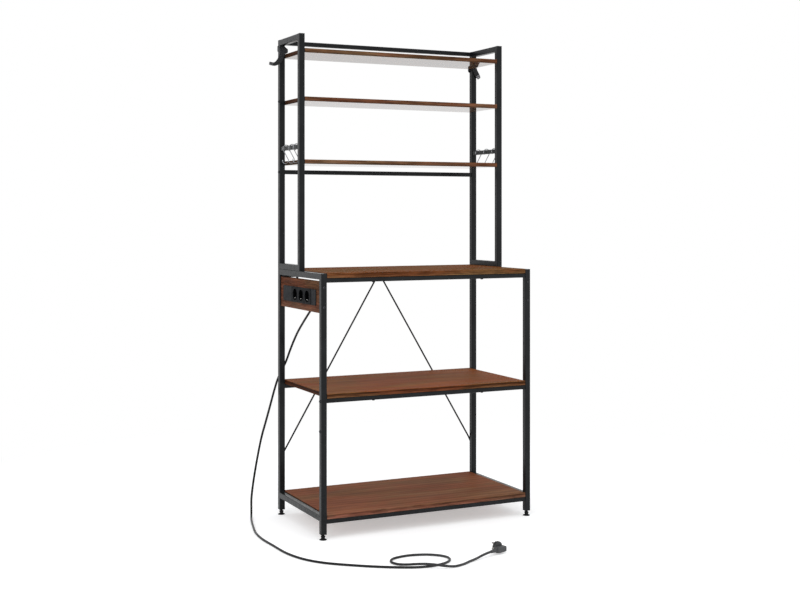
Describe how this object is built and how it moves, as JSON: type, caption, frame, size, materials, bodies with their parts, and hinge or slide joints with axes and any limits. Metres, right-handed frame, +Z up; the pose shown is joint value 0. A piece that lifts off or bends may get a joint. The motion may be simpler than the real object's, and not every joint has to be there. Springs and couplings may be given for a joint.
{
  "type": "kitchen shelf rack",
  "caption": "Black steel kitchen rack with brown wooden boards, a shallow hutch on its back edge, side hook bars and an earthed socket strip with a long cord.",
  "frame": {"origin": "middle of the rack on the floor, halfway between its side frames and between its front and back", "axes": "+Z up, +Y from the front to the back, +X from the socket side to the other side"},
  "size_m": [0.9932, 0.8946, 1.69],
  "materials": {
    "black_powder_coat": "matte powder coat",
    "rustic_walnut": "satin foil",
    "black_zinc": "black plated",
    "black_plastic": "moulded",
    "dark_grey_plastic": "moulded",
    "bright_spring_steel": "bright",
    "chrome_wire": "polished",
    "nickel_plated_brass": "nickel plated",
    "black_webbing": "woven",
    "black_cord_sheath": "smooth"
  },
  "bodies": {
    "rack": {"base_side_frame_left": "black_powder_coat", "base_side_frame_right": "black_powder_coat", "blank_plate_back": "dark_grey_plastic", "blank_plate_front": "dark_grey_plastic", "bottom_board": "rustic_walnut", "bottom_rail_back": "black_powder_coat", "bottom_rail_front": "black_powder_coat", "brace_bolt_centre": "black_zinc", "brace_bolt_left": "black_zinc", "brace_bolt_right": "black_zinc", "brace_rod_left": "black_powder_coat", "brace_rod_right": "black_powder_coat", "cord_boot": "black_plastic", "counter_board": "rustic_walnut", "counter_rail_back": "black_powder_coat", "counter_rail_front": "black_powder_coat", "earth_clip_1": "bright_spring_steel", "earth_clip_2": "bright_spring_steel", "earth_clip_3": "bright_spring_steel", "foot_insert_back_left": "black_plastic", "foot_insert_back_right": "black_plastic", "foot_insert_front_left": "black_plastic", "foot_insert_front_right": "black_plastic", "hanging_rail": "black_powder_coat", "hutch_bolt_left_back": "black_zinc", "hutch_bolt_left_front": "black_zinc", "hutch_bolt_right_back": "black_zinc", "hutch_bolt_right_front": "black_zinc", "hutch_shelf_lower": "rustic_walnut", "hutch_shelf_middle": "rustic_walnut", "hutch_shelf_top": "rustic_walnut", "hutch_side_frame_left": "black_powder_coat", "hutch_side_frame_right": "black_powder_coat", "hutch_top_rail": "black_powder_coat", "middle_board": "rustic_walnut", "middle_rail_back": "black_powder_coat", "middle_rail_front": "black_powder_coat", "plug_body": "black_plastic", "plug_pin_lower": "nickel_plated_brass", "plug_pin_upper": "nickel_plated_brass", "power_board": "rustic_walnut", "power_cord": "black_cord_sheath", "socket_block": "dark_grey_plastic", "strap_plate_left": "black_zinc", "strap_plate_right": "black_zinc", "strip_housing": "dark_grey_plastic", "wall_strap_left": "black_webbing", "wall_strap_right": "black_webbing"},
    "foot_front_left": {"levelling_foot_front_left": "black_plastic"},
    "foot_back_left": {"levelling_foot_back_left": "black_plastic"},
    "foot_front_right": {"levelling_foot_front_right": "black_plastic"},
    "foot_back_right": {"levelling_foot_back_right": "black_plastic"},
    "hook_left_1": {"s_hook_left_1": "chrome_wire"},
    "hook_left_2": {"s_hook_left_2": "chrome_wire"},
    "hook_left_3": {"s_hook_left_3": "chrome_wire"},
    "hook_right_1": {"s_hook_right_1": "chrome_wire"},
    "hook_right_2": {"s_hook_right_2": "chrome_wire"},
    "hook_right_3": {"s_hook_right_3": "chrome_wire"}
  },
  "joints": [
    {"name": "foot_front_left_height", "type": "slide", "parent": "rack", "child": "foot_front_left", "axis": [0, 0, 1], "range_m": [-0.012, 0.004]},
    {"name": "foot_back_left_height", "type": "slide", "parent": "rack", "child": "foot_back_left", "axis": [0, 0, 1], "range_m": [-0.012, 0.004]},
    {"name": "foot_front_right_height", "type": "slide", "parent": "rack", "child": "foot_front_right", "axis": [0, 0, 1], "range_m": [-0.012, 0.004]},
    {"name": "foot_back_right_height", "type": "slide", "parent": "rack", "child": "foot_back_right", "axis": [0, 0, 1], "range_m": [-0.012, 0.004]},
    {"name": "hook_left_1_swing", "type": "hinge", "parent": "rack", "child": "hook_left_1", "pos_m": [-0.39, 0.044, 1.30126], "axis": [0, 1, 0], "range_deg": [0, 70]},
    {"name": "hook_left_2_swing", "type": "hinge", "parent": "rack", "child": "hook_left_2", "pos_m": [-0.39, 0.087, 1.30126], "axis": [0, 1, 0], "range_deg": [0, 70]},
    {"name": "hook_left_3_swing", "type": "hinge", "parent": "rack", "child": "hook_left_3", "pos_m": [-0.39, 0.145, 1.30126], "axis": [0, 1, 0], "range_deg": [0, 70]},
    {"name": "hook_right_1_swing", "type": "hinge", "parent": "rack", "child": "hook_right_1", "pos_m": [0.39, 0.03, 1.30126], "axis": [0, -1, 0], "range_deg": [0, 70]},
    {"name": "hook_right_2_swing", "type": "hinge", "parent": "rack", "child": "hook_right_2", "pos_m": [0.39, 0.089, 1.30126], "axis": [0, -1, 0], "range_deg": [0, 70]},
    {"name": "hook_right_3_swing", "type": "hinge", "parent": "rack", "child": "hook_right_3", "pos_m": [0.39, 0.151, 1.30126], "axis": [0, -1, 0], "range_deg": [0, 70]}
  ]
}
